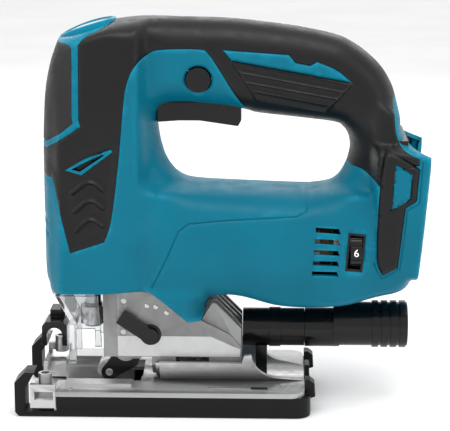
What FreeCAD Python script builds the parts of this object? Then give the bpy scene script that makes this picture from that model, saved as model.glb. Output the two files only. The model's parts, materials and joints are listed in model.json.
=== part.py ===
import FreeCAD, Part
import math
import os
import re

import Sketcher

# Cordless jigsaw, millimetres.  +X runs from the blade end to the battery end,
# -Y is the tool's left side, +Z is up and the sole of the base lies at Z = 0.

SIZES = {
    # overall tool body
    "shell_wall": 2.5,
    "grip_skin": 1.2,
    "head_half": 28.0,
    "barrel_half": 33.0,
    "handle_half": 18.0,
    "flange_half": 34.0,
    "bay_front": 94.0,
    "bay_half": 29.0,
    # drive
    "motor_z": 84.0,
    "gear_module": 0.75,
    "pinion_teeth": 10.0,
    "gear_teeth": 56.0,
    "gear_front": -54.0,
    "gear_width": 7.0,
    "crank_radius": 13.0,
    "crank_pin_rad": 3.5,
    "plunger_x": -68.0,
    "plunger_rad": 4.0,
    "plunger_low": 50.5,
    "plunger_high": 160.0,
    "sleeve_rad": 6.7,
    "running_gap": 0.05,
    "shaft_rad": 3.5,
    "gear_shaft_rad": 5.0,
    "stator_rad": 24.0,
    "stator_bore": 14.6,
    "rotor_rad": 14.0,
    "stack_front": 14.0,
    "stack_length": 36.0,
    "fan_rad": 24.0,
    # base
    "tilt_z": 36.0,
    "cradle_rad": 25.5,
    "cradle_wall": 2.5,
    "base_half": 38.5,
    "base_front": -85.0,
    "base_rear": 43.0,
    "plate_top": 13.0,
    "plate_low": 2.5,
    "rim_top": 10.4,
    "rim_wall": 1.7,
    "well_half": 14.0,
    "prong_front": -97.0,
    "prong_top": 16.8,
    "prong_inner": 16.0,
    "prong_wall": 3.0,
    "cover_rear": 46.0,
    "saddle_rad": 23.4,
    "bolt_x": -20.0,
    "bolt_rad": 3.0,
    # cast gear housing
    "cast_half": 18.5,
    "cast_cover": 3.0,
    # controls
    "lever_x": -36.6,
    "lever_z": 38.0,
    "lever_hub_rad": 4.2,
    "cam_rad": 3.0,
    "lock_x": -11.7,
    "lock_z": 170.3,
    "lock_rad": 6.3,
    "dial_rad": 10.0,
    "dial_y": -23.5,
    "dial_z": 85.5,
    # roller
    "roller_x": -59.2,
    "roller_z": 14.5,
    "roller_rad": 6.5,
    "roller_pin_rad": 2.0,
    "pivot_x": -50.8,
    "pivot_z": 28.5,
    "pivot_rad": 1.6,
    # dust outlet
    "duct_z": 37.6,
    "duct_rad": 9.9,
    "duct_bore": 8.6,
    "hose_front": 58.0,
    "hose_end": 96.5,
    "hose_z": 39.6,
    "hose_rad": 12.4,
    "hose_bore": 9.2,
}

doc = FreeCAD.newDocument("jigsaw")
sheet = doc.addObject("Spreadsheet::Sheet", "Sizes")
for row, (alias, value) in enumerate(SIZES.items(), start=1):
    sheet.set("A%d" % row, alias)
    sheet.set("B%d" % row, "%g" % value)
    sheet.setAlias("B%d" % row, alias)
doc.recompute()

nodes = []
V = FreeCAD.Vector


def size(alias):
    return float(getattr(sheet, alias))


def linked(text):
    """Turns the sheet's aliases in a formula into references to the sheet."""
    return re.sub(r"[a-z][a-z_]+[a-z]", lambda word: "Sizes." + word.group(), str(text))


def bind(thing, prop, formula):
    thing.setExpression(prop, linked(formula))


def put(thing, x=0, y=0, z=0):
    bind(thing, "Placement.Base.x", x)
    bind(thing, "Placement.Base.y", y)
    bind(thing, "Placement.Base.z", z)
    return thing


def turn(thing, axis, degrees):
    thing.Placement = FreeCAD.Placement(V(0, 0, 0), FreeCAD.Rotation(V(*axis), degrees))
    return thing


def box(x, y, z, length, width, height):
    """Block from its low corner and its three sizes, all formulas."""
    brick = doc.addObject("Part::Box", "brick")
    bind(brick, "Length", length)
    bind(brick, "Width", width)
    bind(brick, "Height", height)
    return put(brick, x, y, z)


def slab(x, half, z, length, height):
    """Block centred on the mid-plane."""
    return box(x, "0 - (%s)" % half, z, length, "2 * (%s)" % half, height)


AXES = {"x": ((0, 1, 0), 90), "y": ((1, 0, 0), -90), "z": ((0, 0, 1), 0)}


def rod(axis, x, y, z, radius, length):
    """Cylinder that starts at a point and runs along +X, +Y or +Z."""
    pin = doc.addObject("Part::Cylinder", "pin")
    turn(pin, *AXES[axis])
    bind(pin, "Radius", radius)
    bind(pin, "Height", length)
    return put(pin, x, y, z)


def join(*pieces):
    whole = doc.addObject("Part::MultiFuse", "joined")
    whole.Shapes = list(pieces)
    return whole


def cut(base, *tools):
    """Base less each tool in turn."""
    for tool in tools:
        less = doc.addObject("Part::Cut", "less")
        less.Base = base
        less.Tool = tool
        base = less
    return base


def common(*pieces):
    shared = doc.addObject("Part::MultiCommon", "shared")
    shared.Shapes = list(pieces)
    return shared


def tube(axis, x, y, z, outer, inner, length):
    return cut(rod(axis, x, y, z, outer, length), rod(axis, x, y, z, inner, length))


def outline_edges(points):
    """Straight edges between points; a point given as (x, y, mid_x, mid_y) is
    reached by an arc through its middle point."""
    edges = []
    last = points[-1][:2]
    for point in points:
        here = point[:2]
        if len(point) == 4:
            edges.append(Part.Arc(V(*last), V(*point[2:]), V(*here)))
        else:
            edges.append(Part.LineSegment(V(*last), V(*here)))
        last = here
    return edges


PLANES = {"xy": "XY_Plane", "xz": "XZ_Plane", "yz": "YZ_Plane"}


def pad(plane, points, thickness, x=0, y=0, z=0):
    """Body with one sketch padded evenly to both sides of its plane."""
    body = doc.addObject("PartDesign::Body", "Body")
    sketch = body.newObject("Sketcher::SketchObject", "Outline")
    for feature in body.Origin.OriginFeatures:
        if feature.Role == PLANES[plane]:
            sketch.AttachmentSupport = [(feature, "")]
    sketch.MapMode = "FlatFace"
    sketch.addGeometry(outline_edges(points), False)
    layer = body.newObject("PartDesign::Pad", "Pad")
    layer.Profile = sketch
    layer.Midplane = True
    bind(layer, "Length", thickness)
    return put(body, x, y, z)


def node(label, thing):
    """Names a finished sub-part and puts it on the list of files."""
    thing.Label = label
    nodes.append(thing)
    return thing


def solid(label, shape):
    """Finished sub-part whose shape is set directly."""
    feature = doc.addObject("Part::Feature", label)
    feature.Shape = shape
    return node(label, feature)


# ---------------------------------------------------------------- shells

def face_of(points, inset=0.0):
    """Flat face in the XZ plane, shrunk by inset all round."""
    wire = Part.Wire([edge.toShape() for edge in outline_edges(points)])
    face = Part.Face(wire)
    if inset:
        face = face.makeOffset2D(-inset, 0, False, False, True)
    face.rotate(V(0, 0, 0), V(1, 0, 0), 90)
    return face


def side_prism(points, half, inset=0.0):
    """XZ outline made thick from -half to +half."""
    face = face_of(points, inset)
    face.translate(V(0, half - inset, 0))
    return face.extrude(V(0, -2 * (half - inset), 0))


def rounded(half, low, high, radius, inset=0.0):
    """Bar along X whose section has rounded upper and lower corners."""
    low = low + inset
    high = high - inset
    half = half - inset
    radius = max(radius - inset, 1.0)
    bar = Part.makeBox(300, 2 * half, high - low, V(-150, -half, low))
    edges = [e for e in bar.Edges if abs(e.BoundBox.XLength - 300) < 1e-6]
    return bar.makeFillet(radius, edges)


HEAD = [(-86, 60.5), (-92, 67), (-92, 140), (-82.6, 190, -89.6, 167), (-50.9, 199.5),
        (-24, 200.6), (-24, 150), (-30, 120), (-20, 105), (-20, 60.5)]
BARREL = [(-40, 61), (-6.5, 57), (0.4, 58.5), (7, 58.3), (15, 56.8), (30, 50.4),
          (63, 51.6), (96, 57.5), (96, 117), (47, 116.8), (-8.6, 118.4), (-40, 118.4)]
HANDLE = [(-45, 128), (-45, 199.9), (-36.7, 200.8), (19, 198, -9, 200.4),
          (57, 191, 38, 195.6), (80, 174.3, 70.5, 184.3), (89.7, 154, 87.2, 161),
          (94, 120), (94, 100), (-30, 100)]
FLANGE = [(80, 60.6), (90.2, 62.8), (98.5, 70.6), (102.3, 97.9), (105, 130.3),
          (104.4, 133.4), (97.4, 136.8), (93.4, 139.3), (90.3, 148.3), (87.1, 160.2),
          (80, 160.2), (72, 130), (72, 62)]
SKIRT = [(-42, 66), (-42, 61.5), (-34.8, 62), (-17.1, 47.2), (-10.5, 47.2),
         (-6.4, 57), (-6.4, 66)]
FINGER_HOLE = [(-32.9, 147.7), (-17.8, 119.3, -28.5, 128), (-8.6, 118.4),
               (47.5, 117.1), (65.5, 138.9, 61.4, 126.5), (57.2, 149.7, 63.2, 147),
               (39.5, 152.1), (19.3, 154.1), (-33, 154.1)]


def body_solid(inset=0.0):
    """Outer form of the whole casing, or the same form shrunk by inset."""
    head = side_prism(HEAD, size("head_half"), inset)
    head = head.common(rounded(size("head_half"), 40, 203, 12, inset))
    barrel = side_prism(BARREL, size("barrel_half"), inset)
    barrel = barrel.common(rounded(size("barrel_half"), 50.4, 119, 30, inset))
    handle = side_prism(HANDLE, size("handle_half"), inset)
    flange = side_prism(FLANGE, size("flange_half"), inset)
    whole = head.fuse([barrel, handle, flange])
    return whole.removeSplitter()


def hole_solid(wider=0.0):
    return side_prism(FINGER_HOLE, 60, -wider)


def block(x, half, z, length, height):
    return Part.makeBox(length, 2 * half, height, V(x, -half, z))


def pin_y(x, z, radius, low, high):
    return Part.makeCylinder(radius, high - low, V(x, low, z), V(0, 1, 0))


BOSSES = [(-78, 178), (-38, 190), (62, 175), (76, 108), (30, 55.6), (-24, 112)]


def shell_solid():
    """Hollow casing with its openings, still in one piece."""
    wall = size("shell_wall")
    skin = size("grip_skin")
    outer = body_solid().cut(hole_solid())
    hollow = body_solid(wall).cut(hole_solid(wall))
    skirts = side_prism(SKIRT, 30).cut(block(-60, size("cast_half") + 1.2, 40, 80, 40))
    shell = outer.cut(hollow).fuse(skirts.cut(hollow))
    for x, z in BOSSES:
        shell = shell.fuse(pin_y(x, z, 3.4, -size("handle_half") + 2, size("handle_half") - 2))
        shell = shell.cut(pin_y(x, z, 1.5, -14, size("handle_half") + 20))
    bay = block(size("bay_front"), size("bay_half"), 40, 30, 140)
    terminal_gap = block(80, 24.5, 73.5, 20, 68)
    mouth = block(-86.5, 25.4, 50, 52, 14.5)
    cast_gap = block(-61.5, size("cast_half") + 1.2, 40, 73, 24)
    lamp_gap = block(-93, 5.3, 52, 6, 9.4)
    duct_gap = block(-12, 20.0, 40, 24, 21)
    trigger_gap = block(-34.5, 6.7, 140, 45.5, 19)
    lock_gap = pin_y(size("lock_x"), size("lock_z"), size("lock_rad") + 0.5, -30, 30)
    dial_gap = Part.makeBox(7.5, 20, 18, V(64.4, -45, 76.5))
    for tool in (bay, terminal_gap, mouth, cast_gap, lamp_gap, duct_gap, trigger_gap,
                 lock_gap, dial_gap):
        shell = shell.cut(tool)
    for row in range(5):
        slot = Part.makeBox(13.0, 90, 2.6, V(47.0 - 0.4 * row, -45, 95.0 - 5.6 * row))
        shell = shell.cut(slot)
    return shell


GRIP = [(-76.5, 84), (-57, 90), (-50.3, 135.3, -52.5, 112), (-45.4, 165.7), (-35, 178),
        (-25, 181), (-8, 181), (-3.5, 176), (4.4, 163.4), (15, 150), (66, 140), (75.6, 122.3),
        (82, 124), (86, 140), (93, 165), (80, 180), (58, 196), (0, 206), (-58, 206),
        (-58, 196), (-71, 187), (-71, 149.5), (-88, 138), (-88, 112)]
PALM = [(-95, 141), (-73.5, 150.5), (-73.5, 185.5), (-95, 192)]
BEZEL = [(-84.5, 190), (-84.5, 187.5), (-71.5, 188.5), (-60, 193.5), (-60, 206), (-84.5, 206)]
BUMPER = [(79, 79.5), (81.3, 75.7), (89.8, 77.8), (91.6, 105.9), (96.1, 123.6), (104.9, 133.6),
          (87, 137.6), (79.1, 137.6)]


def skin_regions():
    """The thin outer layer of the casing, cut into its overmoulded regions."""
    skin = size("grip_skin")
    layer = body_solid().cut(body_solid(skin)).cut(hole_solid())
    layer = layer.cut(block(-34.5, 6.7, 140, 45.5, 19))
    layer = layer.cut(pin_y(size("lock_x"), size("lock_z"), size("lock_rad") + 0.5, -30, 30))
    layer = layer.cut(block(size("bay_front"), size("bay_half"), 40, 30, 140))
    palm = layer.common(side_prism(PALM, 60))
    bezel = layer.common(side_prism(BEZEL, 60)).cut(palm)
    grip = layer.common(side_prism(GRIP, 60)).cut(palm).cut(bezel).cut(side_prism(BUMPER, 60))
    for x, z in BOSSES:
        grip = grip.cut(pin_y(x, z, 3.0, 0, 60))
    sides = side_prism(BUMPER, 60).cut(block(60, 30, 40, 60, 140))
    bumper = layer.common(sides)
    return grip, palm, bezel, bumper


def half_of(shape, side):
    """The part of a shape on the left (-1) or the right (+1) of the mid-plane."""
    low = -100 if side < 0 else 0
    return biggest(shape.common(Part.makeBox(400, 100, 400, V(-200, low, -100))))


def biggest(shape):
    pieces = sorted(shape.Solids, key=lambda piece: piece.Volume)
    return pieces[-1]


def make_casing():
    grip, palm, bezel, bumper = skin_regions()
    shell = shell_solid().cut(grip).cut(palm).cut(bezel).cut(bumper)
    for side, name in ((-1, "left"), (1, "right")):
        solid("housing_" + name, half_of(shell, side))
        solid("grip_" + name, half_of(grip, side))
        solid("bumper_" + name, half_of(bumper, side))
    solid("palm_pad", biggest(palm))
    solid("top_bezel", biggest(bezel))


def make_badge():
    plate = pad("xz", [(-81, 190.9), (-80.6, 189.9), (-64, 196.2), (-64.4, 197.2)], 20)
    node("badge_plate", put(plate, 0, 0, 1.2))


def make_screws():
    screws = [rod("y", x, -8, z, 1.45, 19) for x, z in BOSSES]
    heads = [rod("y", x, 11, z, 1.45, "handle_half - 12.5") for x, z in BOSSES]
    node("housing_screws", join(*screws, *heads))


# ---------------------------------------------------------------- cast gear housing

CAST_LOW = [(-61, 26), (-61, 66), (-36, 66), (-36, 61), (-18, 46.5), (-11, 46), (4.6, 38.2),
            (10.2, 31.3), (10.2, 26)]
CAST_SIDE = [(-54, 26), (-54, 61), (-36, 60.5), (-18, 46), (-11, 45.5), (4.6, 38.2),
             (10.2, 31.3), (10.2, 26)]
GEAR_Z = "motor_z + gear_module * (gear_teeth + pinion_teeth) / 2"
COVER_SCREWS = [(-50.5, 55.5), (-50.8, 39), (-15, 31), (5, 31)]
FIN = [(-14, 31.5), (-10.2, 46), (-7.8, 50), (-4.6, 55), (-3, 54.6), (7.1, 44.5), (10.2, 41.3),
       (10.2, 31.5)]
EAR = [(-55.4, 32), (-55.4, 27), (-46.2, 24, -51.5, 22.9), (-42, 24.2), (-40.6, 27), (-40.6, 32)]


def make_gear_housing():
    upper = slab(-80, 25, 64.5, 44, 81.5)
    lower = pad("xz", CAST_LOW, "2 * cast_half")
    saddle = common(rod("x", -36, 0, "tilt_z", "saddle_rad", 46.2),
                    slab(-36, "cast_half", 5, 46.2, 22))
    ears = [pad("xz", EAR, 5, 0, side * 13, 0) for side in (-1, 1)]
    fins = [pad("xz", FIN, 1.8, 0, 8.4 * row, 0) for row in range(-2, 3)]
    casting = join(upper, lower, saddle, *ears, *fins)
    cavity = slab(-76.5, 22.5, 81, 32.5, 53)
    upper_room = slab(-58.5, 22.5, 69, 14.5, 66)
    tools = [
        cavity,
        upper_room,
        slab(-41.5, 26, 119, 8, 30),
        cut(slab(-46, 26, 119, 6, 30), slab(-47, 18, 118, 8, 32)),
        cut(slab(-41.5, 26, 108, 8, 12), slab(-42, 14, 107, 9, 14)),
        pad("xz", CAST_SIDE, 6, 0, "0 - cast_half - 3 + cast_cover"),
        slab(-63, 10.5, 20, 22.6, 16),
        common(rod("x", -27, 0, "tilt_z", 18, 24), slab(-27, 15.3, 17, 24, 14)),
        slab(-23.6, "cast_half", 8, 17.2, 18),
        rod("z", "plunger_x", 0, 60, 7.5, 21),
        rod("z", "plunger_x", 0, 133, 6.5, 20),
        rod("x", -46, 0, "motor_z", 9.5, 12),
        rod("x", -46, 0, GEAR_Z, 9, 12),
        rod("y", "lever_x", -20, "lever_z", "cam_rad + running_gap", 29),
        rod("y", "pivot_x", -20, "pivot_z", "pivot_rad", 40),
    ]
    tools += [rod("y", x, -15.6, z, 1.5, 9) for x, z in COVER_SCREWS]
    node("gear_housing", cut(casting, *tools))


def make_gear_cover():
    plate = pad("xz", CAST_SIDE, "cast_cover", 0, "0 - cast_half + cast_cover / 2")
    tools = [rod("y", "lever_x", -20, "lever_z", "cam_rad + running_gap", 8)]
    tools += [rod("y", x, -20, z, 1.5, 8) for x, z in COVER_SCREWS]
    node("gear_cover", cut(plate, *tools))
    screws = [rod("y", x, "0 - cast_half + 0.6", z, 1.5, 8) for x, z in COVER_SCREWS]
    node("gear_cover_screws", join(*screws))


def make_bushes():
    node("lower_bush", tube("z", "plunger_x", 0, 64.5, 7.5, "plunger_rad + running_gap", 16.5))
    node("upper_bush", tube("z", "plunger_x", 0, 134, 6.5, "plunger_rad + running_gap", 12))


# ---------------------------------------------------------------- motor and gears

def gear_outline(teeth, module, phase, backlash):
    """Closed outline of a spur gear with straight-flanked teeth."""
    pitch = module * teeth / 2
    rings = [(pitch - 1.15 * module, 0.36), (pitch, 0.25), (pitch + 0.85 * module, 0.12)]
    corners = []
    for tooth in range(teeth):
        centre = phase + 2 * math.pi * tooth / teeth
        for side in (-1, 1):
            for radius, share in rings[::-side]:
                spread = 2 * math.pi * share / teeth - backlash / pitch / 2
                angle = centre + side * spread
                corners.append((radius * math.cos(angle), radius * math.sin(angle)))
    return corners


def spur_gear(teeth, phase, width, x, z):
    """Gear with its axis along X, centred at x."""
    return pad("yz", gear_outline(teeth, size("gear_module"), phase, 0.12), width, x, 0, z)


def make_drive():
    pinion_teeth = int(size("pinion_teeth"))
    gear_teeth = int(size("gear_teeth"))
    pinion = spur_gear(pinion_teeth, math.pi / 2, "gear_width + 1",
                       "gear_front + gear_width / 2", "motor_z")
    node("pinion", cut(pinion, rod("x", -60, 0, "motor_z", 2, 20)))
    wheel = spur_gear(gear_teeth, -math.pi / 2 + math.pi / gear_teeth, "gear_width",
                      "gear_front + gear_width / 2", GEAR_Z)
    bore = rod("x", -60, 0, GEAR_Z, "gear_shaft_rad", 20)
    pin = rod("x", -58.4, "crank_radius", GEAR_Z, "crank_pin_rad", 5)
    node("crank_gear", join(cut(wheel, bore), pin))
    node("gear_shaft", rod("x", "gear_front", 0, GEAR_Z, "gear_shaft_rad", 18))
    node("gear_bearing", tube("x", -44, 0, GEAR_Z, 9, "gear_shaft_rad + running_gap", 8))
    plate = slab(-46.6, 20, "motor_z + 13", 2.2, 26)
    slot = slab(-48, "gear_shaft_rad + 0.6", GEAR_Z + " - 11.8", 5, 23.6)
    node("balance_plate", cut(plate, slot))


def make_motor():
    end = "stack_front + stack_length"
    shaft = join(rod("x", -44.4, 0, "motor_z", "shaft_rad", 108),
                 rod("x", -54, 0, "motor_z", 2, 12))
    node("motor_shaft", shaft)
    node("rotor_core", tube("x", "stack_front", 0, "motor_z", "rotor_rad", "shaft_rad",
                            "stack_length"))
    node("stator_core", tube("x", "stack_front", 0, "motor_z", "stator_rad", "stator_bore",
                             "stack_length"))
    node("stator_coils", join(tube("x", "stack_front - 5", 0, "motor_z", 22, 16.5, 5),
                              tube("x", end, 0, "motor_z", 22, 16.5, 5)))
    node("sensor_board", tube("x", end + " + 5.3", 0, "motor_z", 21, 7, 1.6))
    node("front_bearing", tube("x", -43.5, 0, "motor_z", 9.5, "shaft_rad + running_gap", 7))
    node("rear_bearing", tube("x", 57.4, 0, "motor_z", 9.5, "shaft_rad + running_gap", 6))
    hub = tube("x", -28, 0, "motor_z", 7, "shaft_rad", 12)
    disc = tube("x", -28, 0, "motor_z", "fan_rad", 6.5, 1.6)
    blades = []
    for number in range(12):
        blade = box(0, 6, 0, 9, "fan_rad - 6.5", 1)
        turned = doc.addObject("Part::Compound", "blade")
        turned.Links = [blade]
        turn(turned, (1, 0, 0), 30 * number)
        blades.append(put(turned, -27, 0, "motor_z"))
    node("cooling_fan", join(hub, disc, *blades))


def make_plunger():
    node("plunger_rod", rod("z", "plunger_x", 0, "plunger_low", "plunger_rad",
                            "plunger_high - plunger_low"))
    fork = join(slab("plunger_x - 6", 7, GEAR_Z + " - 7.5", 12, 15),
                slab("plunger_x + 3.5", 20, GEAR_Z + " - 7.5", 5, 15))
    slot = slab("plunger_x + 5.5", "crank_radius + crank_pin_rad + 0.6",
                GEAR_Z + " - crank_pin_rad - 0.3", 5, "2 * crank_pin_rad + 0.6")
    node("yoke", cut(fork, rod("z", "plunger_x", 0, 90, "plunger_rad", 40), slot))


def make_blade_clamp():
    body = rod("z", "plunger_x", 0, 38, 4.5, 12.5)
    slot = slab("plunger_x - 4", 0.8, 37, 8, 11)
    node("blade_clamp", cut(body, slot))
    ring = tube("z", "plunger_x", 0, 39.5, "sleeve_rad", "4.5 + running_gap", 9.5)
    lug = box("plunger_x - 2", 6, 42, 4, 3.4, 5)
    node("clamp_sleeve", join(ring, lug))


# ---------------------------------------------------------------- clamp opener, dust cover, lamp

def make_opener():
    arch = pad("xz", [(-95.3, 26.5), (-95.3, 37), (-93.3, 39.5), (-84, 39.5), (-82, 37),
                      (-82, 26.5), (-84.6, 26.5), (-84.6, 31), (-92.7, 31, -88.65, 36.2),
                      (-92.7, 26.5)], 16, 0, 6, 0)
    arm = box(-92, 8, 39.5, 8, 12, 4)
    boss = rod("z", -84, 18, 39.5, 3.6, 13)
    node("opener_lever", cut(join(arch, arm, boss), rod("z", -84, 18, 30, "1.5 + running_gap", 30)))
    node("opener_pin", rod("z", -84, 18, 39, 1.5, 30))


def make_dust_cover():
    side = [(-86.5, 57), (-78.6, 43), (-79.8, 41), (-79.8, 20.5), (-75.6, 20.5), (-75.6, 39.2),
            (-66, 39.2), (-66, 29.6), (-62.4, 29.6), (-64.2, 57)]
    inner = [(-84.5, 58.5), (-76.3, 43.3), (-74, 38), (-60, 38), (-60, 58.5)]
    node("dust_cover", cut(pad("xz", side, 28), pad("xz", inner, 24.6),
                           slab(-81, 11, 15, 22, 26)))


def make_lamp():
    lens = pad("xz", [(-89.8, 60), (-89, 56), (-86.8, 54.2), (-86.8, 60)], 10)
    node("lamp_lens", lens)
    node("lamp_board", slab(-84.4, 5, 66, 1.4, 10))


# ---------------------------------------------------------------- orbital action and roller

def make_orbit_lever():
    hub = rod("y", "lever_x", -23.2, "lever_z", "lever_hub_rad", 4.4)
    bar = box(0, 0, -3.6, 18.5, 3.6, 7.2)
    tilted = doc.addObject("Part::Compound", "bar")
    tilted.Links = [bar]
    turn(tilted, (0, 1, 0), -146)
    put(tilted, "lever_x", -23.2, "lever_z")
    node("orbit_lever", join(hub, tilted))
    shaft = rod("y", "lever_x", -18.8, "lever_z", "cam_rad", 27)
    flat = box("lever_x - 4", -9, "lever_z + 1.2", 8, 9, 3)
    node("orbit_cam", cut(shaft, flat))


RETAINER = [(-54.5, 27.6), (-47.2, 29.8, -51.3, 32.3), (-43.2, 21.5), (-44.6, 18.2),
            (-56.5, 11.2), (-63, 16.2, -62.2, 11.4)]


def make_roller():
    plates = [pad("xz", RETAINER, 2.4, 0, side * 7.7, 0) for side in (-1, 1)]
    web = slab(-48.5, 7, 18.2, 4.4, 4.4)
    holes = [rod("y", "pivot_x", -12, "pivot_z", "pivot_rad + running_gap", 24),
             rod("y", "roller_x", -12, "roller_z", "roller_pin_rad", 24)]
    node("roller_retainer", cut(join(*plates, web), *holes))
    node("retainer_pin", rod("y", "pivot_x", -15, "pivot_z", "pivot_rad", 30))
    node("roller_pin", rod("y", "roller_x", -9.3, "roller_z", "roller_pin_rad", 18.6))
    wheel = rod("y", "roller_x", -6, "roller_z", "roller_rad", 12)
    bore = rod("y", "roller_x", -7, "roller_z", "roller_pin_rad + running_gap", 14)
    groove = tube("y", "roller_x", -0.9, "roller_z", 8, 4.6, 1.8)
    node("guide_roller", cut(wheel, bore, groove))


# ---------------------------------------------------------------- controls and electronics

def make_controls():
    lever = pad("xz", [(-33.1, 147), (-22, 147.8), (-11.3, 147.8), (8.1, 145), (9.8, 148),
                       (9.6, 158), (6.5, 160), (0.5, 160), (-1, 157.4), (-31.5, 157.4),
                       (-33.3, 155)], 12.4)
    node("trigger", lever)
    node("trigger_spring", tube("z", 3.4, 0, 160.2, 2.4, 1.6, 4.6))
    node("trigger_switch", slab(-1, 9, 165.2, 35, 17))
    button = rod("y", "lock_x", "0 - handle_half - 1", "lock_z", "lock_rad",
                 "2 * handle_half + 1")
    node("lock_button", button)
    wheel = rod("x", 65.2, "dial_y", "dial_z", "dial_rad", 5.8)
    notches = []
    for number in range(18):
        notch = box(-1, "dial_rad - 0.5", -0.5, 8, 1, 1)
        turned = doc.addObject("Part::Compound", "notch")
        turned.Links = [notch]
        turn(turned, (1, 0, 0), 20 * number)
        notches.append(put(turned, 65.2, "dial_y", "dial_z"))
    bore = rod("x", 64, "dial_y", "dial_z", "1.5 + running_gap", 9)
    node("speed_dial", cut(wheel, bore, *notches))
    node("dial_potentiometer", join(slab(72, 6, "dial_z - 6", 4, 12),
                                    rod("x", 64.6, "dial_y", "dial_z", 1.5, 8),
                                    box(72, "dial_y - 3", "dial_z - 3", 4, 20, 6)))
    node("controller", slab(64.5, 18.5, 60, 20, 13))


CONTACT_ROWS = (-13, -4, 4, 13)


def make_battery_interface():
    carrier = slab(86, 24, 74, 7.6, 67)
    rails = [box(90.2, side * 22.2 - 1.8, 76, 7.2, 3.6, 60) for side in (-1, 1)]
    slots = [box(91.4, y - 1.4, 84, 4, 2.8, 34) for y in CONTACT_ROWS]
    node("terminal_block", cut(join(carrier, *rails), *slots))
    node("battery_contacts", join(*[box(91.4, y - 0.5, 85, 6, 1, 30) for y in CONTACT_ROWS]))


# ---------------------------------------------------------------- base

CRADLE_SIDE = [(-31.8, 9), (-31.8, 25), (10.6, 25), (12, 29.4), (15.6, 30),
               (31, 14.6, 20.6, 19.2), (43, 13), (43, 10.6), (41, 10.6), (41, 9)]


def cradle_rod(start, radius, length):
    return rod("x", start, 0, "tilt_z", radius, length)


def corner(centre_x, centre_y, radius, side):
    """What a rear corner of the base loses when it is rounded in plan."""
    reach = radius + 1
    low_y = centre_y if side > 0 else -centre_y - reach
    square = box(centre_x, low_y, -1, reach, reach, 30)
    return cut(square, rod("z", centre_x, side * centre_y, -2, radius, 32))


def make_base_plate():
    span = "base_rear - base_front"
    flange = slab("base_front", "base_half", "rim_top + 0.1", span, "plate_top - rim_top - 0.1")
    core = slab("base_front", "base_half - rim_wall - 0.1", "plate_low",
                span + " - rim_wall - 0.1", "plate_top - plate_low")
    cradle = common(pad("xz", CRADLE_SIDE, 60), cradle_rod(-40, "cradle_rad + cradle_wall", 90))
    rails = slab(-80, 28.5, "plate_top - 2", 34, 3.4)
    tray = slab("prong_front", "base_half", 4.4, "base_front - prong_front + 1",
                "prong_top - 4.4")
    bosses = [rod("z", -89.5, side * 34, "plate_top + 0.1", 3.5, 8.9) for side in (-1, 1)]
    whole = join(flange, core, cradle, rails)
    prongs = cut(tray,
                 slab("prong_front - 1", "prong_inner - 2", 0, 20, 30),
                 slab("prong_front + 2.2", "base_half - prong_wall", 7, 30, 30),
                 slab("prong_front - 1", "base_half - prong_wall", 12, 30, 30))
    whole = join(cut(whole, slab("base_front - 1", "base_half - prong_wall", 13.05, 4, 9)),
                 prongs, *bosses)
    pockets = [box(-48, side * 22.5 - 12.5, "plate_low - 1", 84, 25, 7) for side in (-1, 1)]
    tools = [
        cut(cradle_rod(-110, 29.3, 68), slab(-112, 60, 40, 72, 40)),
        cradle_rod(-42.1, "cradle_rad", 100),
        slab(-110, "well_half", 0, 68, 30),
        rod("z", "bolt_x", 0, 0, "bolt_rad", 14),
        rod("z", "bolt_x", 0, 0, 6, 7.4),
        slab(-94.8, 60, 8.6, 9.6, 4.4),
    ]
    tools += [rod("z", -89.5, side * 34, 8, 2.1, 20) for side in (-1, 1)]
    tools += [corner(35, 30.5, 8, side) for side in (-1, 1)]
    node("base_plate", cut(whole, *tools, *pockets))


TAB = [(43.3, 7), (48.5, 8.6), (48.1, 15.4), (45.6, 17.4), (43.3, 17.4)]


def make_sole_cover():
    length = "cover_rear - base_front"
    sole = slab("base_front", "base_half", 0, length, "plate_low")
    rim = cut(slab("base_front + 1.3", "base_half", 0, length + " - 1.3", "rim_top"),
              slab("base_front - 1", "base_half - rim_wall", "plate_low",
                   "1 + base_rear - base_front - rim_wall", 20))
    hook = pad("xz", [(-103, 0), (-104.9, 2), (-104.9, 17.7), (-99.7, 23.1), (-94.6, 23.1),
                      (-97.3, 18.2), (-99.4, 15), (-99.4, 2.5), (-84, 2.5), (-84, 0)], 77)
    hooks = cut(hook, slab(-110, 25, -1, 24.9, 30))
    tabs = [pad("xz", TAB, 8, 0, side * 25, 0) for side in (-1, 1)]
    clip = slab("base_rear + 0.3", 5, 8, 2.4, 10)
    cover = join(sole, rim, hooks, *tabs, clip)
    tools = [slab("base_front - 2", 8.3, -1, 27, 5),
             slab("base_front - 2", 14, -1, 3, 12),
             rod("z", "bolt_x", 0, -1, 7, 5)]
    tools += [corner(38, 30.5, 8, side) for side in (-1, 1)]
    node("sole_cover", cut(cover, *tools))
    insert = cut(slab(-84.6, 8.1, 0.3, 24.2, 2.1), slab(-85, 1.2, 0, 20, 3))
    node("splinter_insert", insert)


def make_base_clamp():
    shank = rod("z", "bolt_x", 0, 5, "bolt_rad", 18)
    head = rod("z", "bolt_x", 0, 2.8, 6, 4.6)
    socket = rod("z", "bolt_x", 0, 2.8, 2.5, 3)
    node("base_bolt", cut(join(shank, head), socket))
    nut = box("bolt_x - 5.5", -4.2, "tilt_z - 17", 11, 8.4, 3.6)
    node("base_nut", cut(nut, rod("z", "bolt_x", 0, 10, "bolt_rad", 20)))
    arc = common(cut(cradle_rod(-34, "saddle_rad + 1.8", 40), cradle_rod(-35, "saddle_rad + 0.3", 42)),
                 slab(-34, 22, 0, 40, 23.8))
    node("guide_plate", cut(arc, slab("bolt_x - bolt_rad - 0.3", 20.5, 0, "2 * bolt_rad + 0.6", 40)))


# ---------------------------------------------------------------- dust outlet

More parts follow.
